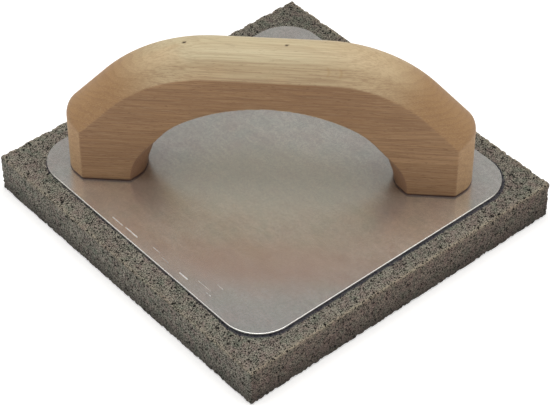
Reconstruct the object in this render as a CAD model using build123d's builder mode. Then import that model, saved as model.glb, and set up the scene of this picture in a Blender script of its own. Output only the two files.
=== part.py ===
from build123d import *
from math import cos, radians, sin, sqrt, tan
import os

# Sponge-rubber float with a bridge handle, in millimetres.
# The origin is the centre of the rubber's working face, with +Z up and +X along the handle.
# The handle runs from corner to corner of the square rubber, so the square is turned by 45 degrees.

# Sponge rubber pad
pad_side = 203.2
pad_height = 22.2
square_turn = 45

# Backing plate, and the cement that holds it on the pad
cement_thickness = 0.4
cement_margin = 0.6
plate_side = 181.0
plate_corner_radius = 21.0
plate_thickness = 1.0
plate_edge_radius = 0.5
plate_underside = pad_height + cement_thickness
handle_base = plate_underside + plate_thickness

# Handle, set a little off the middle: its two flat side faces, and the crown that joins them over the outside
handle_middle = -1.5
handle_half_width = 15.6
crown_edge_angle = 57
side_half_length = 96.8
side_end_height = 31.3
side_top_height = 70.3
side_shoulder_x = 60.1
side_end_radius = 0.6
side_shoulder_radius = 69.3
crest_half_length = 105.2
crest_end_height = 37.2
crest_top_height = 83.4
crest_shoulder_x = 61.5
crest_end_radius = 11.0
crest_shoulder_radius = 80.0

# Hand opening: an arch, whose feet are rounded over towards the hand at their lower end
arch_height = 52.9
arch_radius = 88.4
arch_turn = 29.1
arch_haunch_radius = 40.7
arch_haunch_turn = 23.0
foot_crest_x = 64.2
foot_crest_mid_x = 61.0
foot_edge_x = 71.8
foot_edge_mid_x = 68.9
foot_mid_height = 14.0
cutter_overrun = 1.0

# Wood screws, two up into each foot
screw_places = {
    "screw_left_outer": handle_middle - 94.0,
    "screw_left_inner": handle_middle - 76.0,
    "screw_right_inner": handle_middle + 76.0,
    "screw_right_outer": handle_middle + 94.0,
}
screw_length = 32.0
screw_head_radius = 4.0
screw_shank_radius = 2.1
screw_core_radius = 1.5
screw_shank_length = 10.0
screw_point_length = 4.0
thread_pitch = 2.6
thread_count = 6
recess_length = 4.4
recess_width = 1.1
recess_depth = 1.6
recess_taper = 12
countersink_angle = 90
fit_gap = 0.1

# The plate is pressed up into a cone round each screw, and the foot is countersunk to take it
dimple_wall = 1.3
dimple_mouth_radius = screw_head_radius + fit_gap
plate_hole_radius = screw_shank_radius + fit_gap
dimple_rise = dimple_mouth_radius - plate_hole_radius
countersink_radius = dimple_mouth_radius + dimple_wall - plate_thickness + fit_gap
pilot_depth = screw_length - plate_thickness + 2.0

# Half section of a screw from the flat of its head to its point, as (radius, height)
head_height = screw_head_radius - screw_shank_radius
thread_start = screw_shank_length + screw_shank_radius - screw_core_radius
screw_section = [(0, 0), (screw_head_radius, 0), (screw_shank_radius, head_height)]
screw_section.append((screw_shank_radius, screw_shank_length))
for turn in range(thread_count):
    root_height = thread_start + turn * thread_pitch
    screw_section.append((screw_core_radius, root_height))
    screw_section.append((screw_shank_radius, root_height + thread_pitch / 2))
screw_section.append((screw_core_radius, thread_start + thread_count * thread_pitch))
screw_section.append((screw_core_radius, screw_length - screw_point_length))
screw_section.append((0, screw_length))

# The crown's section: a flat facet up from each side face, then one round nose over the middle.
# A crown share is 0 at the side face's edge and 1 on the crest.
crown_depth = crest_top_height - side_top_height
edge_angle = radians(crown_edge_angle)
nose_radius = (handle_half_width * tan(edge_angle) - crown_depth) / (1 / cos(edge_angle) - 1)
facet_level = nose_radius * sin(edge_angle)
facet_share = (handle_half_width - facet_level) * tan(edge_angle) / crown_depth
nose_levels = [facet_level * step / 4 for step in range(-4, 5)]

side_plane = Plane(origin=(handle_middle, 0, handle_base), x_dir=(1, 0, 0), z_dir=(0, -1, 0))


def nose_share(level):
    """Crown share at a level across the round nose."""
    return 1 - (nose_radius - sqrt(nose_radius**2 - level**2)) / crown_depth


def between(side_value, crest_value, share):
    """A size between its value on the side face and its value on the crest."""
    return side_value + share * (crest_value - side_value)


def outer_outline(share):
    """Outside of the handle in side view at one crown share, with its flat base."""
    half_length = between(side_half_length, crest_half_length, share)
    end_height = between(side_end_height, crest_end_height, share)
    shoulder_x = between(side_shoulder_x, crest_shoulder_x, share)
    top_height = between(side_top_height, crest_top_height, share)
    end_radius = between(side_end_radius, crest_end_radius, share)
    shoulder_radius = between(side_shoulder_radius, crest_shoulder_radius, share)
    with BuildLine() as outline:
        right = [(half_length, 0), (half_length, end_height), (shoulder_x, top_height)]
        left = [(-x, height) for x, height in reversed(right)]
        radii = [end_radius, shoulder_radius, shoulder_radius, end_radius]
        FilletPolyline(*right, *left, radius=radii)
        Line(left[-1], right[0])
    return outline.edges()


def opening_outline(share):
    """Hand opening in side view at one crown share. Only the flanks of the feet change with it."""
    foot_x = between(foot_edge_x, foot_crest_x, share)
    foot_mid_x = between(foot_edge_mid_x, foot_crest_mid_x, share)
    with BuildLine() as outline:
        crown = JernArc((0, arch_height), (1, 0), arch_radius, -arch_turn)
        haunch = JernArc(crown @ 1, crown % 1, arch_haunch_radius, -arch_haunch_turn)
        flank = [haunch @ 1, (foot_mid_x, foot_mid_height), (foot_x, 0)]
        Spline(*flank, tangents=[haunch % 1, (0, -1)])
        Polyline((foot_x, 0), (foot_x, -cutter_overrun), (0, -cutter_overrun))
        mirror(about=Plane.YZ)
    return outline.edges()


# Pad
with BuildPart() as pad:
    with BuildSketch():
        Rectangle(pad_side, pad_side, rotation=square_turn)
    extrude(amount=pad_height)

# Cement film
with BuildPart() as cement:
    with BuildSketch(Plane.XY.offset(pad_height)):
        cement_side = plate_side - 2 * cement_margin
        cement_corner_radius = plate_corner_radius - cement_margin
        RectangleRounded(cement_side, cement_side, cement_corner_radius, rotation=square_turn)
    extrude(amount=cement_thickness)

# Backing plate
with BuildPart() as backing_plate:
    with BuildSketch(Plane.XY.offset(plate_underside)):
        RectangleRounded(plate_side, plate_side, plate_corner_radius, rotation=square_turn)
    extrude(amount=plate_thickness)
    fillet(backing_plate.faces().sort_by(Axis.Z)[-1].edges(), radius=plate_edge_radius)
    for x in screw_places.values():
        with BuildSketch(Plane.XZ.shift_origin((x, 0, 0))):
            with BuildLine():
                Polyline(
                    (0, plate_underside),
                    (dimple_mouth_radius + dimple_wall, plate_underside),
                    (plate_hole_radius, plate_underside + dimple_rise + dimple_wall),
                    (0, plate_underside + dimple_rise + dimple_wall),
                    close=True,
                )
            make_face()
        revolve(axis=Axis((x, 0, 0), (0, 0, 1)))
        with Locations(Plane(origin=(x, 0, plate_underside), z_dir=(0, 0, -1))):
            CounterSinkHole(
                plate_hole_radius,
                dimple_mouth_radius,
                counter_sink_angle=countersink_angle,
            )

# Handle
with BuildPart() as handle:
    for side in (-1, 1):
        with BuildSketch(side_plane.offset(side * handle_half_width)):
            make_face(outer_outline(0))
        with BuildSketch(side_plane.offset(side * facet_level)):
            make_face(outer_outline(facet_share))
        loft(ruled=True)
    for level in nose_levels:
        with BuildSketch(side_plane.offset(level)):
            make_face(outer_outline(nose_share(level)))
    loft()
    overrun_share = -facet_share * cutter_overrun / (handle_half_width - facet_level)
    for side in (-1, 1):
        with BuildSketch(side_plane.offset(side * (handle_half_width + cutter_overrun))):
            make_face(opening_outline(overrun_share))
        with BuildSketch(side_plane.offset(side * facet_level)):
            make_face(opening_outline(facet_share))
        loft(ruled=True, mode=Mode.SUBTRACT)
    for level in nose_levels:
        with BuildSketch(side_plane.offset(level)):
            make_face(opening_outline(nose_share(level)))
    loft(mode=Mode.SUBTRACT)
    for x in screw_places.values():
        with Locations(Plane(origin=(x, 0, handle_base), z_dir=(0, 0, -1))):
            CounterSinkHole(
                screw_shank_radius + fit_gap,
                countersink_radius,
                depth=pilot_depth,
                counter_sink_angle=countersink_angle,
            )

os.makedirs("parts", exist_ok=True)

# Screws
for name, x in screw_places.items():
    with BuildPart() as screw:
        with BuildSketch(Plane.XZ.shift_origin((x, 0, 0))):
            with BuildLine():
                Polyline(*[(r, plate_underside + z) for r, z in screw_section], close=True)
            make_face()
        revolve(axis=Axis((x, 0, 0), (0, 0, 1)))
        with BuildSketch(Plane.XY.offset(plate_underside)):
            with Locations((x, 0)):
                Rectangle(recess_length, recess_width)
                Rectangle(recess_width, recess_length)
        extrude(amount=recess_depth, taper=recess_taper, mode=Mode.SUBTRACT)
    screw.part.label = name
    export_step(screw.part, f"parts/{name}.step")

pad.part.label = "pad"
cement.part.label = "cement"
backing_plate.part.label = "backing_plate"
handle.part.label = "handle"
export_step(pad.part, "parts/pad.step")
export_step(cement.part, "parts/cement.step")
export_step(backing_plate.part, "parts/backing_plate.step")
export_step(handle.part, "parts/handle.step")
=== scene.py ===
import math

import bmesh
import bpy
import numpy as np
from mathutils import Matrix, Vector, kdtree, noise


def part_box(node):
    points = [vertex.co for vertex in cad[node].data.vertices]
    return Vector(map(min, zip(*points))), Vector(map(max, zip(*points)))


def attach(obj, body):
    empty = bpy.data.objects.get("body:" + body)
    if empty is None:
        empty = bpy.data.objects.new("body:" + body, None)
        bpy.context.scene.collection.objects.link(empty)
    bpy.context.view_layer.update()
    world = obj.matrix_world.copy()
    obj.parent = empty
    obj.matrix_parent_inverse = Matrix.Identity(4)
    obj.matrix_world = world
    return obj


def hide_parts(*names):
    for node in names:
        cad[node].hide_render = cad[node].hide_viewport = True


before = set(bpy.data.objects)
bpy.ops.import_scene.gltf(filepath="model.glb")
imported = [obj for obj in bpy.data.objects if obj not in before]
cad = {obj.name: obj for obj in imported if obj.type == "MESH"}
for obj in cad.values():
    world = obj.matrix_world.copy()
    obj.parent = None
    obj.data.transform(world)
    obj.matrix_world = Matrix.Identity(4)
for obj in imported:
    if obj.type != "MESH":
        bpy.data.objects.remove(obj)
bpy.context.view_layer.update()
scene = bpy.context.scene

# The scene is in metres. The patterns and marks of the materials are in millimetres.
MM = 0.001
SQUARE_TURN = 45  # degrees between the handle and the sides of the pad and plate
handle_low, handle_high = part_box("handle")
HANDLE_BASE = handle_low.z / MM
CROWN_MIDDLE = Vector(((handle_low.x + handle_high.x) / 2, 0.0, handle_high.z)) / MM


def smooth_step(value, low, high):
    """Smoothly carries low..high of an array to 0..1."""
    share = np.clip((value - low) / (high - low), 0, 1)
    return share * share * (3 - 2 * share)


def plate_outline():
    """Half side and corner radius of the plate, from its own mesh."""
    points = np.array([v.co for v in cad["backing_plate"].data.vertices])
    turned = points[:, :2] @ np.array(Matrix.Rotation(math.radians(SQUARE_TURN), 2))
    half = np.abs(turned).max()
    half_diagonal = np.abs(points[:, 0]).max()
    return half, (half * math.sqrt(2) - half_diagonal) / (math.sqrt(2) - 1)


PLATE_HALF, PLATE_CORNER = plate_outline()


def on_crown(offset):
    """A place in mm, from its offset to the middle of the handle's crown."""
    return tuple(CROWN_MIDDLE + Vector(offset))


def store_marks(mesh, marks):
    """Gives each point of a mesh its values under the names that the materials read."""
    for name, value in marks.items():
        attribute = mesh.attributes.new(name, "FLOAT", "POINT")
        attribute.data.foreach_set("value", value.astype(np.float32))


# ----------------------------------------------------------------- node helpers

# The sockets of a Mix node that carry colours
MIX_FIRST, MIX_SECOND, MIX_RESULT = 6, 7, 2


class Nodes:
    """Builds one node tree. A node takes another node's socket or a plain value."""

    def __init__(self, tree):
        self.tree = tree

    def add(self, kind, **settings):
        node = self.tree.nodes.new(kind)
        for name, value in settings.items():
            setattr(node, name, value)
        return node

    def link(self, source, target):
        """Feeds a socket from another socket, or sets it to a plain value."""
        if isinstance(source, bpy.types.NodeSocket):
            self.tree.links.new(source, target)
        else:
            target.default_value = source

    def parts(self, vector):
        """The three parts of a vector or colour."""
        node = self.add("ShaderNodeSeparateXYZ")
        self.link(vector, node.inputs[0])
        return list(node.outputs)

    def math(self, operation, a, b=0.0, clamp=False):
        node = self.add("ShaderNodeMath", operation=operation, use_clamp=clamp)
        self.link(a, node.inputs[0])
        self.link(b, node.inputs[1])
        return node.outputs["Value"]

    def plus(self, a, b):
        return self.math("ADD", a, b)

    def minus(self, a, b):
        return self.math("SUBTRACT", a, b)

    def times(self, a, b):
        return self.math("MULTIPLY", a, b)

    def larger(self, a, b):
        return self.math("MAXIMUM", a, b)


class Shader(Nodes):
    """One procedural material: a Principled surface fed by patterns in the object's own space, in mm."""

    def __init__(self, name):
        self.material = bpy.data.materials.new(name)
        self.material.use_nodes = True
        super().__init__(self.material.node_tree)
        self.tree.nodes.clear()
        self.surface = self.add("ShaderNodeBsdfPrincipled")
        output = self.add("ShaderNodeOutputMaterial")
        self.link(self.surface.outputs["BSDF"], output.inputs["Surface"])
        place = self.add("ShaderNodeTexCoord").outputs["Object"]
        self.place = self.stretch(place, (1 / MM, 1 / MM, 1 / MM))

    def stretch(self, vector, scale, turn=(0, 0, 0), shift=(0, 0, 0)):
        """A space scaled, then turned in degrees, then shifted."""
        node = self.add("ShaderNodeMapping")
        self.link(vector, node.inputs["Vector"])
        node.inputs["Scale"].default_value = scale
        node.inputs["Rotation"].default_value = [math.radians(a) for a in turn]
        node.inputs["Location"].default_value = shift
        return node.outputs["Vector"]

    def moved(self, turn=(0, 0, 0), shift=(0, 0, 0)):
        """The object's own space, turned and shifted."""
        return self.stretch(self.place, (1, 1, 1), turn, shift)

    def noise(self, vector, scale=1.0, detail=2.0, roughness=0.5, distortion=0.0):
        node = self.add("ShaderNodeTexNoise")
        self.link(vector, node.inputs["Vector"])
        node.inputs["Scale"].default_value = scale
        node.inputs["Detail"].default_value = detail
        node.inputs["Roughness"].default_value = roughness
        node.inputs["Distortion"].default_value = distortion
        return node.outputs["Fac"]

    def cells(self, vector, scale):
        """Distance to the nearest of some scattered points, and a random colour for that point."""
        node = self.add("ShaderNodeTexVoronoi")
        self.link(vector, node.inputs["Vector"])
        node.inputs["Scale"].default_value = scale
        return node.outputs["Distance"], node.outputs["Color"]

    def vector(self, operation, a, b=(0, 0, 0)):
        node = self.add("ShaderNodeVectorMath", operation=operation)
        self.link(a, node.inputs[0])
        self.link(b, node.inputs[1])
        return node.outputs["Value" if operation in ("LENGTH", "DOT_PRODUCT") else "Vector"]

    def from_point(self, vector, point):
        """Distance from a point."""
        return self.vector("LENGTH", self.vector("SUBTRACT", vector, point))

    def from_line(self, vector, start, end):
        """Distance from the straight line between two points."""
        start, step = Vector(start), Vector(end) - Vector(start)
        offset = self.vector("SUBTRACT", vector, tuple(start))
        along = self.vector("DOT_PRODUCT", offset, tuple(step))
        passed = self.add("ShaderNodeVectorMath", operation="SCALE")
        passed.inputs[0].default_value = step
        self.link(self.math("DIVIDE", along, step.length_squared, clamp=True), passed.inputs["Scale"])
        return self.from_point(offset, passed.outputs["Vector"])

    def span(self, value, low, high, to_low=0.0, to_high=1.0):
        """Smoothly carries low..high of a value to to_low..to_high."""
        node = self.add("ShaderNodeMapRange", interpolation_type="SMOOTHSTEP")
        sockets = [node.inputs[name] for name in ("Value", "From Min", "From Max", "To Min", "To Max")]
        for socket, source in zip(sockets, (value, low, high, to_low, to_high)):
            self.link(source, socket)
        return node.outputs["Result"]

    def attribute(self, name):
        return self.add("ShaderNodeAttribute", attribute_name=name).outputs["Fac"]

    def mix(self, share, a, b, blend="MIX"):
        node = self.add("ShaderNodeMix", data_type="RGBA", blend_type=blend)
        self.link(share, node.inputs["Factor"])
        for colour, index in ((a, MIX_FIRST), (b, MIX_SECOND)):
            plain = not isinstance(colour, bpy.types.NodeSocket)
            self.link((*colour, 1.0) if plain else colour, node.inputs[index])
        return node.outputs[MIX_RESULT]

    def ramp(self, value, stops):
        """Carries a value through (position, colour) stops."""
        node = self.add("ShaderNodeValToRGB")
        self.link(value, node.inputs["Fac"])
        elements = node.color_ramp.elements
        while len(elements) < len(stops):
            elements.new(0.5)
        for element, (position, colour) in zip(elements, stops):
            element.position = position
            element.color = (*colour, 1.0)
        return node.outputs["Color"]

    def bump(self, height, distance, strength):
        node = self.add("ShaderNodeBump")
        self.link(height, node.inputs["Height"])
        node.inputs["Distance"].default_value = distance
        node.inputs["Strength"].default_value = strength
        self.link(node.outputs["Normal"], self.surface.inputs["Normal"])

    def set(self, **values):
        """Sets inputs of the surface, each named with _ for a space."""
        for name, value in values.items():
            self.link(value, self.surface.inputs[name.replace("_", " ")])


# ------------------------------------------------------------ rubber and cement

# Pores too small to model, painted dark as the shade in them, in three sizes: cells per mm, widest pore in
# cells, how rare the wide ones are, and how far the pattern is turned and shifted
FINE_PORES = ((0.55, 0.40, 3.0, 0), (1.05, 0.52, 1.6, 30), (1.7, 0.62, 1.3, 60))
PORE_RIM = 0.04  # half width of a fine pore's soft rim
FLOOR_SHADE_HEIGHT = 15.0  # how far up from the floor the rubber is darkened by painted shade


def from_plate(s):
    """Distance outwards from the plate's edge, and the place along two of its sides."""
    half, corner = PLATE_HALF / MM, PLATE_CORNER / MM
    along, across, _ = s.parts(s.moved(turn=(0, 0, SQUARE_TURN)))
    past = [s.larger(s.minus(s.math("ABSOLUTE", v), half - corner), 0.0) for v in (along, across)]
    squares = [s.times(v, v) for v in past]
    return s.minus(s.math("SQRT", s.plus(*squares)), corner), along


def rubber_material():
    """Cellular rubber: grey-brown and mottled, with open pores of many sizes and a few pale crumbs.
    The pores are painted dark, as the shade in them.

    The pad's marks say where it has a modelled pore, black deep down as painted shade, a pale worn edge
    with a painted highlight, and a side with painted shade. Painted shade darkens it near the floor and
    towards its rear, and along the plate it has smeared cement and a painted shadow under the plate's edge.
    """
    s = Shader("sponge_rubber")
    s.set(Specular_IOR_Level=0.25)

    fine = 0.0
    for scale, widest, rarity, turn in FINE_PORES:
        distance, chance = s.cells(s.moved(turn=(turn, turn / 2, turn), shift=(turn, 0, 0)), scale)
        size = s.times(s.math("POWER", s.parts(chance)[0], rarity), widest)
        rim = PORE_RIM * scale
        fine = s.larger(fine, s.span(s.minus(size, distance), -rim, rim))
    distance, chance = s.cells(s.moved(turn=(50, 20, 70), shift=(7, 3, 5)), 1.0)
    crumb = s.times(s.span(s.parts(chance)[1], 0.45, 0.85), s.span(distance, 0.42, 0.28))
    grit = s.noise(s.place, 1.9, detail=1.0, roughness=0.6)
    cloud = s.noise(s.place, 0.10, detail=3.0, roughness=0.6)
    tint = s.noise(s.moved(shift=(40, 9, 3)), 0.22, detail=3.0)

    dark, middling, light = (0.085, 0.079, 0.065), (0.200, 0.186, 0.153), (0.400, 0.372, 0.310)
    grimy, reddish, greenish = (0.110, 0.106, 0.090), (0.215, 0.150, 0.140), (0.142, 0.178, 0.135)
    colour = s.ramp(grit, [(0.36, dark), (0.50, middling), (0.62, light)])
    colour = s.mix(s.span(cloud, 0.40, 0.68, 0.0, 0.25), colour, grimy)
    colour = s.mix(s.span(tint, 0.50, 0.66, 0.0, 0.45), colour, reddish)
    colour = s.mix(s.span(tint, 0.48, 0.34, 0.0, 0.45), colour, greenish)
    crumb_colour, painted_highlight_colour = (0.46, 0.42, 0.34), (0.44, 0.37, 0.27)
    side_shade, back_shade = (0.78, 0.68, 0.66), (0.76, 0.76, 0.75)
    # Painted shade: the two sides that face right, and the rear of the pad, are darkened
    back_shading = s.span(s.vector("DOT_PRODUCT", s.place, (0.5, 1.0, 0.0)), 30.0, 130.0)
    colour = s.mix(s.times(crumb, 0.60), colour, crumb_colour)
    colour = s.mix(s.attribute("shaded_side"), colour, side_shade, "MULTIPLY")
    colour = s.mix(back_shading, colour, back_shade, "MULTIPLY")
    # Painted highlight: the top edges are paler, worn and lit, most on the right
    colour = s.mix(s.times(s.attribute("edge"), 0.60), colour, painted_highlight_colour)

    hole_shade_colour, floor_shade_colour = (0.010, 0.009, 0.008), (0.022, 0.020, 0.017)
    cement_and_shadow_colour = (0.024, 0.025, 0.042)
    # Painted shade: the pores, fine and modelled, are darkened to near black
    hole_shade = s.larger(s.times(fine, 0.95), s.span(s.attribute("pore"), 0.12, 0.60))
    # Painted shade near the floor, darkest at the bottom
    floor_shade = s.span(s.parts(s.place)[2], FLOOR_SHADE_HEIGHT, 0.0, 0.0, 0.62)
    # Smeared cement and a painted shadow under the plate's edge, wider towards one end
    gap, along = from_plate(s)
    cement_and_shadow_width = s.plus(s.span(along, 55.0, 80.0, -0.1, 1.1), s.span(tint, 0.35, 0.65, 0.0, 0.5))
    smear = s.span(s.minus(gap, cement_and_shadow_width), 0.6, -0.3, 0.0, 0.80)
    colour = s.mix(hole_shade, colour, hole_shade_colour)
    colour = s.mix(floor_shade, colour, floor_shade_colour)
    colour = s.mix(smear, colour, cement_and_shadow_colour)

    s.set(Base_Color=colour, Roughness=s.span(grit, 0.3, 0.7, 0.82, 0.95))
    s.bump(s.minus(s.times(grit, 0.7), fine), 0.30 * MM, 0.9)
    return s.material


def cement_material():
    """Dried contact cement, dark and stringy."""
    s = Shader("contact_cement")
    thin, thick = (0.010, 0.011, 0.016), (0.045, 0.047, 0.060)
    strings = s.noise(s.stretch(s.place, (1, 1, 3)), 0.6, detail=4.0, roughness=0.7, distortion=1.0)
    s.set(Base_Color=s.ramp(strings, [(0.3, thin), (0.7, thick)]))
    s.set(Roughness=s.span(strings, 0.3, 0.7, 0.45, 0.8))
    s.bump(strings, 0.3 * MM, 0.6)
    return s.material


# ----------------------------------------------------------------------- metals

# Scratches along the plate's front left edge: start and end from its middle, distance in from it, width
SCRATCHES = (
    (-25.2, -17.3, 4.2, 0.16),
    (-14.8, -5.8, 4.5, 0.26),
    (5.5, 10.8, 6.1, 0.05),
    (14.1, 19.0, 4.9, 0.06),
    (28.4, 34.3, 4.8, 0.26),
    (38.9, 48.1, 8.3, 0.02),
    (46.8, 51.2, 13.6, 0.02),
    (47.9, 50.7, 6.1, 0.12),
)
SCRATCH_RIM = 0.16  # width of a scratch's soft rim

# Soft oval patches on the plate's middle line, painted reflections of the handle: how X is squeezed, the
# place along Y, the radius out to which the patch is full, the radius where it ends, and its strength
UNDER_ARCH = (0.8, 0.0, 22.0, 62.0, 0.60)
PALE_REFLECTION_SPOT = (0.5, -12.0, 16.0, 38.0, 0.45)
IN_FRONT = (0.36, -71.0, 8.0, 24.0, 0.45)

# The front corner, painted as a dimmer reflection: where it starts and is full along Y, and how far that
# wanders
DIM_START, DIM_FULL, DIM_WANDER = -62.0, -92.0, 16.0


def reflection_patch(s, squeeze, y, full_radius, radius, strength):
    """How strongly a patch of painted reflection covers each point of the plate."""
    away = s.from_point(s.stretch(s.place, (squeeze, 1, 1)), (0, y, HANDLE_BASE))
    return s.span(away, radius, full_radius, 0.0, strength)


def plate_material():
    """Satin mill-finish sheet: faint rolling lines, smears and grain, with a few short scratches.

    It has painted reflections: dimmer towards the front corner, and of the handle under the arch and in
    front of it.
    """
    s = Shader("sheet_aluminium")
    s.set(Metallic=0.90)

    rolled = s.moved(turn=(0, 0, SQUARE_TURN))
    lines = s.noise(s.stretch(rolled, (0.05, 1.1, 1.0)), detail=1.0)
    smear = s.noise(s.stretch(rolled, (0.020, 0.035, 0.02)), detail=4.0, roughness=0.6, distortion=0.4)
    grain = s.noise(s.place, 0.75, detail=2.0, roughness=0.6)
    mottle = s.noise(s.stretch(rolled, (0.10, 0.35, 0.35)), detail=2.0, roughness=0.6)
    tint = s.noise(s.moved(shift=(20, 3, 8)), 0.09, detail=2.0)
    wander = s.times(s.span(tint, 0.3, 0.7), DIM_WANDER)
    dim_front = s.span(s.minus(s.parts(s.place)[1], wander), DIM_START, DIM_FULL)
    scratch = 0.0
    for start, end, inset, width in SCRATCHES:
        across = inset - PLATE_HALF / MM
        away = s.from_line(rolled, (start, across, HANDLE_BASE), (end, across, HANDLE_BASE))
        scratch = s.larger(scratch, s.span(away, width + SCRATCH_RIM, width))
    scratch = s.times(scratch, s.span(s.noise(s.place, 0.6, detail=1.0), 0.30, 0.58, 0.35, 1.0))

    warm, plain, bright = (0.855, 0.825, 0.770), (0.895, 0.865, 0.820), (0.915, 0.900, 0.870)
    dim_front_colour, handle_reflection_colour = (0.730, 0.725, 0.715), (1.000, 0.955, 0.830)
    reddish, greenish = (0.86, 0.70, 0.66), (0.68, 0.78, 0.72)
    colour = s.ramp(smear, [(0.30, warm), (0.50, plain), (0.72, bright)])
    # Painted reflection, dimmer towards the front corner
    colour = s.mix(s.times(dim_front, 0.75), colour, dim_front_colour)
    # Painted reflection of the handle under the arch
    colour = s.mix(reflection_patch(s, *UNDER_ARCH), colour, handle_reflection_colour)
    colour = s.mix(s.span(tint, 0.50, 0.66, 0.0, 0.22), colour, reddish)
    colour = s.mix(s.span(tint, 0.48, 0.34, 0.0, 0.22), colour, greenish)
    line_colour, mottle_colour, grain_colour = (0.97, 0.96, 0.95), (0.56, 0.55, 0.53), (0.55, 0.535, 0.51)
    colour = s.mix(s.span(lines, 0.35, 0.65, 0.0, 0.10), colour, line_colour)
    colour = s.mix(s.span(mottle, 0.35, 0.65, 0.0, 0.16), colour, mottle_colour)
    colour = s.mix(s.span(grain, 0.36, 0.64, 0.0, 0.26), colour, grain_colour)
    painted_highlight_colour, rosy_colour = (1.000, 0.920, 0.720), (0.840, 0.670, 0.620)
    scratch_colour = (0.97, 0.96, 0.94)
    # Painted reflections of the handle: a pale warm spot, and a rosy patch in front
    colour = s.mix(reflection_patch(s, *PALE_REFLECTION_SPOT), colour, painted_highlight_colour)
    colour = s.mix(reflection_patch(s, *IN_FRONT), colour, rosy_colour)
    colour = s.mix(scratch, colour, scratch_colour)

    rough = s.span(smear, 0.3, 0.7, 0.22, 0.27)
    s.set(Base_Color=colour, Roughness=s.plus(rough, s.times(scratch, 0.25)))
    s.bump(s.minus(s.times(grain, 0.20), scratch), 0.008 * MM, 0.8)
    return s.material


def steel_material():
    """Zinc-plated steel, faintly yellow, with fine turning marks."""
    s = Shader("plated_steel")
    s.set(Metallic=1.0)
    yellowed, clean = (0.50, 0.47, 0.38), (0.68, 0.66, 0.60)
    rings = s.noise(s.stretch(s.place, (1, 1, 6)), detail=3.0, roughness=0.6)
    blotch = s.noise(s.place, 0.5, detail=3.0)
    s.set(Base_Color=s.ramp(blotch, [(0.35, yellowed), (0.65, clean)]))
    s.set(Roughness=s.span(rings, 0.3, 0.7, 0.25, 0.42))
    s.bump(rings, 0.03 * MM, 0.6)
    return s.material


# ------------------------------------------------------------------------- wood

# Marks on the handle, from the middle of its crown: nicks as place and radius, two crescent dents as the
# middle of their circle, and a faint scuff as start and end
NICKS = (((-43.1, 0.0, -1.6), 1.0), ((8.3, -0.5, 0.0), 0.9), ((27.5, 4.0, -0.4), 0.5))
CRESCENTS = ((27.8, -11.8, -7.1), (34.1, -11.9, -7.6))
CRESCENT_RADIUS, CRESCENT_RIM = 2.2, 1.1
SCUFF = ((-33.1, 2.5, -0.5), (-17.7, -2.9, -0.3))

# Painted shade low on the feet, and the dark joint under them with a painted contact shadow, as heights
# above the plate
BASE_SHADE_HEIGHT = 9.0
JOINT_HEIGHT, JOINT_FADED_HEIGHT = 0.8, 1.4

# The heart of the tree runs along X, in front of the handle and below the floor
HEART_DISTANCE, HEART_DEPTH = 74.0, 105.0
RING_WIDTH = 3.4
RING_WANDER = 26.0


def growth_rings(s):
    """How dark each point is in its growth ring: slowly darker outwards, then quickly pale again."""
    _, across, up = s.parts(s.place)
    waver = s.noise(s.stretch(s.place, (0.010, 0.03, 0.03)), detail=3.0, roughness=0.55)
    wander = s.times(s.minus(waver, 0.5), RING_WANDER)
    side = s.plus(across, HEART_DISTANCE)
    rise = s.plus(s.plus(up, HEART_DEPTH), wander)
    radius = s.math("SQRT", s.plus(s.times(side, side), s.times(rise, rise)))
    ring = s.math("FRACT", s.math("DIVIDE", radius, RING_WIDTH))
    return s.times(s.span(ring, 0.35, 0.92), s.span(ring, 1.0, 0.94))


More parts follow.
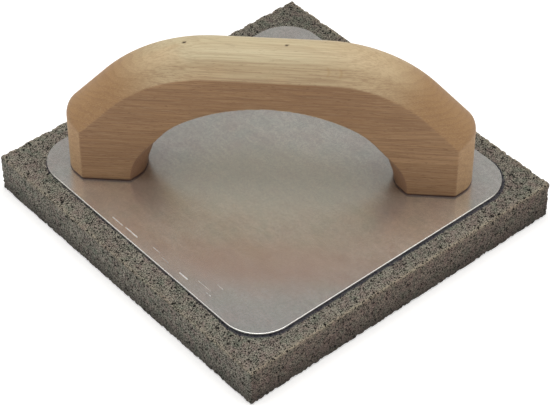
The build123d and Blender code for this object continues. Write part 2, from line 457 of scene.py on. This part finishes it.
def beech_material():
    """Bare sanded beech, its grain along X: growth rings, long fibres, short dark flecks and a few marks.

    The handle's marks say where it faces up (crown), sanded pale and with painted light from above, where
    the
    grain ends (end, butt), the butts also with painted light from the sides, where it faces the hand
    opening:
    the feet's inward faces in painted shade and the arch's underside in painted light, and where it is
    nicked.
    """
    s = Shader("beech")
    s.set(Specular_IOR_Level=0.3)

    late = growth_rings(s)
    fibre = s.noise(s.stretch(s.place, (0.026, 1.55, 1.55)), detail=4.0, roughness=0.65)
    hair = s.noise(s.stretch(s.place, (0.10, 2.6, 2.6)), detail=3.0, roughness=0.7)
    dash = s.noise(s.stretch(s.place, (0.30, 2.2, 2.2), shift=(11, 5, 2)), detail=1.0)
    patch = s.noise(s.stretch(s.place, (0.012, 0.05, 0.05), shift=(5, 1, 9)), detail=3.0, roughness=0.5)
    blush = s.noise(s.stretch(s.place, (0.03, 0.07, 0.07), shift=(3, 8, 4)), detail=2.0)
    along, _, up = s.parts(s.place)
    crown, end, butt = (s.attribute(name) for name in ("crown", "end", "butt"))

    # The bare wood, face by face, with painted light and shade on some faces
    dark, middling, light = (0.350, 0.198, 0.098), (0.395, 0.230, 0.114), (0.468, 0.282, 0.145)
    butt_grain_and_light_colour, inner_shade_colour = (0.500, 0.318, 0.165), (0.245, 0.122, 0.068)
    lit_soffit_colour, sanded_lit_crown_colour = (0.495, 0.430, 0.272), (0.640, 0.560, 0.365)
    end_colour, rosy_colour = (0.372, 0.214, 0.096), (0.600, 0.405, 0.225)
    rosy = s.larger(s.span(blush, 0.52, 0.72, 0.0, 0.45), s.span(along, 5.0, 60.0, 0.0, 0.50))
    rosy = s.times(rosy, s.math("SUBTRACT", crown, end, clamp=True))
    colour = s.ramp(patch, [(0.32, dark), (0.50, middling), (0.70, light)])
    # Painted light: the butt ends are lighter end grain, also painted as lit from the sides
    colour = s.mix(butt, colour, butt_grain_and_light_colour)
    # Painted shade on the feet's inward faces
    colour = s.mix(s.attribute("inner_shade"), colour, inner_shade_colour)
    # Painted light on the underside of the arch
    colour = s.mix(s.times(s.attribute("lit_soffit"), 0.90), colour, lit_soffit_colour)
    # Painted light: faces that look up are paler, sanded wood with painted light from above
    colour = s.mix(s.times(crown, 0.92), colour, sanded_lit_crown_colour)
    colour = s.mix(s.times(end, 0.95), colour, end_colour)
    colour = s.mix(rosy, colour, rosy_colour)

    # The figure, fainter on the crown, sanded and in painted light, and where the grain ends
    ring_colour, fibre_colour = (0.25, 0.138, 0.076), (0.27, 0.150, 0.082)
    hair_colour, fleck_colour = (0.66, 0.48, 0.30), (0.20, 0.105, 0.055)
    figured = s.times(s.span(crown, 0.0, 1.0, 1.0, 0.38), s.span(s.larger(end, butt), 0.0, 0.8, 1.0, 0.60))
    ringed = s.times(late, s.larger(s.times(figured, 0.30), s.times(end, 0.26)))
    colour = s.mix(ringed, colour, ring_colour)
    colour = s.mix(s.times(s.span(fibre, 0.34, 0.62, 0.80, 0.0), figured), colour, fibre_colour)
    colour = s.mix(s.span(hair, 0.48, 0.72, 0.0, 0.25), colour, hair_colour)
    colour = s.mix(s.times(s.span(dash, 0.64, 0.71, 0.0, 0.60), figured), colour, fleck_colour)

    # Wear: dents, a scuff and nicks; painted shade low on the feet; a dark joint above the plate, with a
    # painted contact shadow
    dent_colour, scuff_colour, nick_colour = (0.42, 0.27, 0.12), (0.30, 0.24, 0.16), (0.060, 0.035, 0.020)
    base_shade_colour, joint_and_shadow_colour = (0.72, 0.62, 0.55), (0.085, 0.022, 0.010)
    for offset in CRESCENTS:
        centre = on_crown(offset)
        away = s.math("ABSOLUTE", s.minus(s.from_point(s.place, centre), CRESCENT_RADIUS))
        right_half = s.span(along, centre[0] + 0.6, centre[0] + 1.6)
        colour = s.mix(s.times(s.span(away, CRESCENT_RIM, 0.1, 0.0, 0.38), right_half), colour, dent_colour)
    scuff = s.span(s.from_line(s.place, *map(on_crown, SCUFF)), 0.9, 0.2, 0.0, 0.30)
    base_shade = s.span(up, HANDLE_BASE + BASE_SHADE_HEIGHT, HANDLE_BASE, 0.0, 0.20)
    joint = s.span(up, HANDLE_BASE + JOINT_FADED_HEIGHT, HANDLE_BASE + JOINT_HEIGHT, 0.0, 0.95)
    colour = s.mix(s.times(scuff, s.span(hair, 0.40, 0.55)), colour, scuff_colour)
    colour = s.mix(s.attribute("nick"), colour, nick_colour)
    # Painted shade low on the feet
    colour = s.mix(base_shade, colour, base_shade_colour, "MULTIPLY")
    # A dark joint above the plate, with a painted contact shadow
    colour = s.mix(joint, colour, joint_and_shadow_colour)

    s.set(Base_Color=colour, Roughness=s.span(fibre, 0.3, 0.7, 0.66, 0.54))
    height = s.plus(s.times(fibre, 0.5), s.times(hair, 0.5))
    s.bump(s.minus(height, s.times(s.span(dash, 0.64, 0.72), 0.4)), 0.06 * MM, 0.8)
    return s.material


# -------------------------------------------------------------------- pad shape

PAD_CELLS = 352  # fine cells along one side
PAD_ROWS = 38  # fine cells up the height
HIDDEN_CELL = 8  # a cell under the plate, in fine cells
UNDERSIDE_CELL = 4  # a cell of the underside, in fine cells
UNDERSIDE_RIM_CELL = 2  # and one along its rim
PLATE_OVERLAP = 1.5 * MM  # how far the fine cells go on under the plate
PAD_EDGE_RADIUS = 0.5 * MM
PAD_SWELL = 0.45 * MM  # how far the cut sides stand out past the nominal size

SEED = 20
PORE_AREA = 11.0 * MM**2  # the surface that has one modelled pore
PORE_RADIUS, PORE_RADIUS_SPREAD = 0.58, 0.45
PORE_DEPTH, PORE_DEPTH_SPREAD = 0.55, 0.25  # in radii
DEEP_PORE = 0.55 * MM  # the depth from which a pore is painted black, as shade

CUT_ROUGHNESS = 0.11 * MM
CUT_LUMPS = (0.9, 4.0)  # sizes of the lumps on the cut faces, in mm
TORN_LUMPS = (1.5, 6.0)  # and along the torn edges
COARSE_SHARE = 0.6  # strength of the coarse lumps beside the fine ones
EDGE_WEAR = 0.7 * MM  # how far chunks are torn out of the edges
EDGE_WEAR_GAIN, EDGE_WEAR_LEAST = 1.3, -0.25  # the least is below 0, as the edge also bulges a little
EDGE_WEAR_REACH = 1.6 * MM
# The pale top edge: worn, with a painted highlight
EDGE_PALE_REACH = 1.1 * MM
LEFT_EDGE_PALENESS = 0.55  # of the top edges on the left, where the right ones have 1


class PadGrid:
    """A closed mesh of the square pad, with X and Y along its sides, and fine where it is seen."""

    def __init__(self, half, height):
        self.half, self.cell = half, 2 * half / PAD_CELLS
        self.points, self.faces = [], []
        n = PAD_CELLS
        border = [(i, 0) for i in range(n)] + [(n, j) for j in range(n)]
        border += [(n - i, n) for i in range(n)] + [(0, n - j) for j in range(n)]
        levels = [height * row / PAD_ROWS for row in range(PAD_ROWS + 1)]
        rows = [[self.add_point(i, j, z) for i, j in border] for z in levels]
        for lower, upper in zip(rows, rows[1:]):
            for k in range(len(border)):
                after = (k + 1) % len(border)
                self.faces.append((lower[k], lower[after], upper[after], upper[k]))
        self.fill(dict(zip(border, rows[-1])), height, self.top_cells(), facing_up=True)
        self.fill(dict(zip(border, rows[0])), 0.0, self.underside_cells(), facing_up=False)

    def add_point(self, i, j, z):
        self.points.append((i * self.cell - self.half, j * self.cell - self.half, z))
        return len(self.points) - 1

    def under_plate(self, i, j):
        """Whether a hidden cell at this corner would lie wholly under the plate, a rounded square."""
        straight = PLATE_HALF - PLATE_OVERLAP - PLATE_CORNER
        for u in (i, i + HIDDEN_CELL):
            for v in (j, j + HIDDEN_CELL):
                x, y = abs(u * self.cell - self.half), abs(v * self.cell - self.half)
                if math.hypot(max(x - straight, 0), max(y - straight, 0)) > PLATE_CORNER:
                    return False
        return True

    def top_cells(self):
        cells = []
        fine = range(HIDDEN_CELL)
        for i in range(0, PAD_CELLS, HIDDEN_CELL):
            for j in range(0, PAD_CELLS, HIDDEN_CELL):
                if self.under_plate(i, j):
                    cells.append((i, j, HIDDEN_CELL))
                else:
                    cells += [(i + a, j + b, 1) for a in fine for b in fine]
        return cells

    def underside_cells(self):
        cells = []
        inside = range(UNDERSIDE_CELL, PAD_CELLS - UNDERSIDE_CELL)
        finer = range(0, UNDERSIDE_CELL, UNDERSIDE_RIM_CELL)
        for i in range(0, PAD_CELLS, UNDERSIDE_CELL):
            for j in range(0, PAD_CELLS, UNDERSIDE_CELL):
                if i in inside and j in inside:
                    cells.append((i, j, UNDERSIDE_CELL))
                else:
                    cells += [(i + a, j + b, UNDERSIDE_RIM_CELL) for a in finer for b in finer]
        return cells

    def fill(self, index, z, cells, facing_up):
        """Fills the top or the underside with square cells, each given as its corner and size.

        The index holds the points of the border by their place on the grid.
        """
        for i, j, size in cells:
            for key in ((i, j), (i + size, j), (i + size, j + size), (i, j + size)):
                if key not in index:
                    index[key] = self.add_point(*key, z)
        for i, j, size in cells:
            loop = [(i + k, j) for k in range(size)] + [(i + size, j + k) for k in range(size)]
            loop += [(i + size - k, j + size) for k in range(size)]
            loop += [(i, j + size - k) for k in range(size)]
            loop = [index[key] for key in loop if key in index]
            self.faces.append(tuple(loop) if facing_up else tuple(reversed(loop)))


def press_pores(place, half, height):
    """How far each point sinks into shallow bowls, at seeded random places on the visible faces."""
    rng = np.random.default_rng(SEED)
    sink = np.zeros(len(place))
    tree = kdtree.KDTree(len(place))
    for index, point in enumerate(place):
        tree.insert(point, index)
    tree.balance()
    hidden = PLATE_HALF - PLATE_OVERLAP - PLATE_CORNER / 2
    side_area, top_area = 8 * half * height, 4 * half**2
    for _ in range(round((side_area + top_area) / PORE_AREA)):
        if rng.random() < side_area / (side_area + top_area):
            spot = Vector(((2 * rng.random() - 1) * half, -half, rng.random() * height))
            spot.rotate(Matrix.Rotation(math.pi / 2 * rng.integers(4), 3, "Z"))
        else:
            spot = Vector(((2 * rng.random() - 1) * half, (2 * rng.random() - 1) * half, height))
        radius = (PORE_RADIUS + PORE_RADIUS_SPREAD * rng.random() ** 3) * MM
        depth = radius * (PORE_DEPTH + PORE_DEPTH_SPREAD * rng.random())
        if abs(spot.x) < hidden and abs(spot.y) < hidden and spot.z > height - MM:
            continue
        for _co, index, distance in tree.find_range(spot, radius):
            bowl = depth * (1 - (distance / radius) ** 2) ** 2
            sink[index] = max(sink[index], bowl)
    return sink


def lumps(place, sizes):
    """Noise at each point, in fine and coarse lumps."""
    fine, coarse = (size * MM for size in sizes)
    points = [Vector(point) for point in place]
    return np.array([noise.noise(p / fine) + COARSE_SHARE * noise.noise(p / coarse) for p in points])


def build_pad():
    """The sponge-rubber pad: swollen cut sides, open pores, and edges with chunks torn out."""
    low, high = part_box("pad")
    half = (high.x - low.x) / 2 / math.sqrt(2)
    height = high.z - low.z
    grid = PadGrid(half, height)

    # Round the edges, and take each point's outward direction from that
    sharp = np.array(grid.points)
    limit = np.array([half, half, height / 2]) - PAD_EDGE_RADIUS
    middle = np.array([0, 0, height / 2])
    core = np.clip(sharp - middle, -limit, limit)
    outward = sharp - middle - core
    outward /= np.linalg.norm(outward, axis=1)[:, None]
    place = middle + core + outward * PAD_EDGE_RADIUS

    # Distances from the edges
    from_side = half - np.abs(sharp[:, :2]).max(axis=1)
    from_top = np.maximum(from_side, height - sharp[:, 2])
    from_bottom = np.maximum(from_side, sharp[:, 2])
    from_corner = half - np.abs(sharp[:, :2]).min(axis=1)
    from_edge = np.minimum(np.minimum(from_top, from_bottom), from_corner)

    sink = press_pores(place, half, height)
    rough = CUT_ROUGHNESS * lumps(place, CUT_LUMPS)
    torn = np.clip(EDGE_WEAR_GAIN * lumps(place, TORN_LUMPS), EDGE_WEAR_LEAST, 1.0)
    wear = np.exp(-((from_edge / EDGE_WEAR_REACH) ** 2)) * torn * EDGE_WEAR
    place -= outward * (sink + rough + wear)[:, None]
    place[:, :2] += outward[:, :2] * PAD_SWELL
    place[:, 2] = np.clip(place[:, 2], 0.0, height)

    x, y = sharp[:, 0], sharp[:, 1]
    on_right = np.maximum(x, -y) > np.maximum(-x, y)
    marks = {
        # How deep each point lies in a modelled pore, for painted shade
        "pore": np.clip(sink / DEEP_PORE, 0, 1),
        # A pale worn top edge with a painted highlight, fainter on the left
        "edge": np.exp(-from_top / EDGE_PALE_REACH) * np.where(on_right, 1.0, LEFT_EDGE_PALENESS),
        # Painted shade on the two sides that face right
        "shaded_side": smooth_step(np.maximum(outward[:, 0], -outward[:, 1]), 0.6, 0.95),
    }

    turn = np.array(Matrix.Rotation(math.radians(SQUARE_TURN), 3, "Z"))
    place = place @ turn.T + np.array([0, 0, low.z])
    mesh = bpy.data.meshes.new("pad_rubber")
    mesh.from_pydata(place.tolist(), [], grid.faces)
    mesh.update()
    mesh.shade_smooth()
    store_marks(mesh, marks)
    piece = bpy.data.objects.new("pad_rubber", mesh)
    scene.collection.objects.link(piece)
    return piece


# ----------------------------------------------------------------- handle shape

WELD_DISTANCE = 0.001 * MM
HANDLE_VOXEL = 0.67 * MM  # the cell size of the handle's even skin; as fine as the export keeps without thinning out the mesh
EASE_FACTOR, EASE_TIMES = 0.5, 3
NICK_DEPTH = 0.4 * MM
NICK_STRETCH = 1.5  # along the grain


def ease_edges(piece):
    """Gives a piece an even skin, its sharp edges eased, and returns the new mesh."""
    shell = bmesh.new()
    shell.from_mesh(piece.data)
    bmesh.ops.remove_doubles(shell, verts=shell.verts, dist=WELD_DISTANCE)
    shell.to_mesh(piece.data)
    shell.free()
    skin = piece.modifiers.new("skin", "REMESH")
    skin.mode = "VOXEL"
    skin.voxel_size = HANDLE_VOXEL
    ease = piece.modifiers.new("ease", "SMOOTH")
    ease.factor = EASE_FACTOR
    ease.iterations = EASE_TIMES
    eased = bpy.data.meshes.new_from_object(piece.evaluated_get(bpy.context.evaluated_depsgraph_get()))
    piece.modifiers.clear()
    piece.data = eased
    eased.name = piece.name
    eased.shade_smooth()
    return eased


def read_points(mesh, name):
    """The vector that each point of a mesh has under one name."""
    values = np.zeros(len(mesh.vertices) * 3, np.float32)
    mesh.vertices.foreach_get(name, values)
    return values.reshape(-1, 3)


def build_handle():
    """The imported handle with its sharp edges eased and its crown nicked."""
    piece = bpy.data.objects.new("handle_wood", cad["handle"].data.copy())
    scene.collection.objects.link(piece)
    mesh = ease_edges(piece)
    normals, place = read_points(mesh, "normal"), read_points(mesh, "co")

    nick = np.zeros(len(place))
    for offset, radius in NICKS:
        away = np.linalg.norm((place / MM - on_crown(offset)) / (NICK_STRETCH, 1.0, 1.0), axis=1) / radius
        nick = np.maximum(nick, np.clip(1 - away**2, 0, 1))
    mesh.vertices.foreach_set("co", (place - normals * (nick * NICK_DEPTH)[:, None]).ravel())

    # How far the surface faces up, towards the middle of the handle, and along its side view
    rise = np.clip(normals[:, 2], 0, 1)
    inward = -normals[:, 0] * np.sign(place[:, 0])
    in_side_view = np.hypot(normals[:, 0], rise)
    lean = -inward / np.maximum(in_side_view, 0.01)
    shoulder = smooth_step(in_side_view, 0.25, 0.45) * smooth_step(rise, 0.05, 0.3)
    store_marks(mesh, {
        # Faces that look up: sanded, and painted as lit from above
        "crown": smooth_step(normals[:, 2], 0.15, 0.82),
        "end": smooth_step(lean, 0.25, 0.72) * shoulder,
        # Butt ends, end grain with painted light from the sides
        "butt": smooth_step(-inward, 0.3, 0.8) * (1 - rise),
        # Feet faces turned towards the hand opening, for painted shade
        "inner_shade": smooth_step(inward, 0.15, 0.6),
        # The underside of the arch, for painted light
        "lit_soffit": smooth_step(-normals[:, 2], 0.35, 0.75),
        "nick": smooth_step(nick, 0.2, 0.8),
    })
    return piece


# --------------------------------------------------------------------- assembly

pad = build_pad()
pad.data.materials.append(rubber_material())
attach(pad, "root")
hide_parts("pad")

handle = build_handle()
handle.data.materials.clear()
handle.data.materials.append(beech_material())
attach(handle, "root")
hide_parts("handle")

steel = steel_material()
cad_materials = {name: steel for name in cad if name.startswith("screw_")}
cad_materials.update(backing_plate=plate_material(), cement=cement_material())
for name, material in cad_materials.items():
    for slot in cad[name].material_slots:
        slot.material = material

# ------------------------------------------------------------------------ stage

FLOOR_SIZE = 12.0
FLOOR_GAP = 0.3 * MM
FLOOR_GLOW = 0.42

# A soft studio light: a broad strip overhead, along X, in a dim surround that is a little brighter behind.
# The strip's glow falls off with height as a power of Z, and to its sides as a power of 1 - Y squared.
SKY_LOW, SKY_BEHIND = 0.235, 0.16
STRIP_GLOW, STRIP_CLIMB, STRIP_NARROWING = 5.1, 4.0, 11.0
LIGHT_COLOUR = (1.0, 0.985, 0.96, 1.0)

CAMERA_AIM = Vector((0.00110, -0.00274, 0.0))
CAMERA_AZIMUTH = math.radians(4.22)
CAMERA_ELEVATION = math.radians(43.28)
CAMERA_DISTANCE = 1.1372
SENSOR_WIDTH, FOCAL_LENGTH = 36.0, 140.55  # in mm
CLIP_START, CLIP_END = 0.05, 30.0


def floor_material():
    """A plain pale floor, lit a little from within so that it stays white round the object."""
    s = Shader("studio_floor")
    mottle = s.noise(s.place, 0.01, detail=4.0)
    s.set(Base_Color=s.ramp(mottle, [(0.3, (0.77, 0.77, 0.77)), (0.7, (0.79, 0.79, 0.79))]))
    s.set(Roughness=0.9, Emission_Color=(1.0, 1.0, 1.0, 1.0), Emission_Strength=FLOOR_GLOW)
    return s.material


def build_light():
    """The studio light, as a world whose glow depends only on direction."""
    world = bpy.data.worlds.new("studio")
    world.use_nodes = True
    nodes = Nodes(world.node_tree)
    background = world.node_tree.nodes["Background"]
    direction = nodes.add("ShaderNodeTexCoord").outputs["Generated"]
    _, y, z = nodes.parts(direction)
    climb = nodes.math("POWER", nodes.larger(z, 0.0), STRIP_CLIMB)
    narrow = nodes.math("POWER", nodes.minus(1.0, nodes.times(y, y)), STRIP_NARROWING)
    strip = nodes.times(nodes.times(climb, narrow), STRIP_GLOW)
    surround = nodes.plus(nodes.times(y, SKY_LOW * SKY_BEHIND), SKY_LOW)
    nodes.link(nodes.plus(strip, surround), background.inputs["Strength"])
    nodes.link(LIGHT_COLOUR, background.inputs["Color"])
    scene.world = world


def build_camera():
    """A long lens, a little to the right of the handle's front and well above it."""
    towards = Vector((
        math.sin(CAMERA_AZIMUTH) * math.cos(CAMERA_ELEVATION),
        -math.cos(CAMERA_AZIMUTH) * math.cos(CAMERA_ELEVATION),
        math.sin(CAMERA_ELEVATION),
    ))
    camera = bpy.data.objects.new("camera", bpy.data.cameras.new("camera"))
    scene.collection.objects.link(camera)
    camera.data.sensor_width = SENSOR_WIDTH
    camera.data.lens = FOCAL_LENGTH
    camera.data.clip_start = CLIP_START
    camera.data.clip_end = CLIP_END
    camera.location = CAMERA_AIM + towards * CAMERA_DISTANCE
    camera.rotation_mode = "QUATERNION"
    camera.rotation_quaternion = (-towards).to_track_quat("-Z", "Y")
    return camera


bpy.ops.mesh.primitive_plane_add(size=FLOOR_SIZE, location=(0, 0, -FLOOR_GAP))
floor = bpy.context.object
floor.name = "floor"
floor.data.materials.append(floor_material())
build_light()
scene.camera = build_camera()
scene.view_settings.view_transform = "Standard"
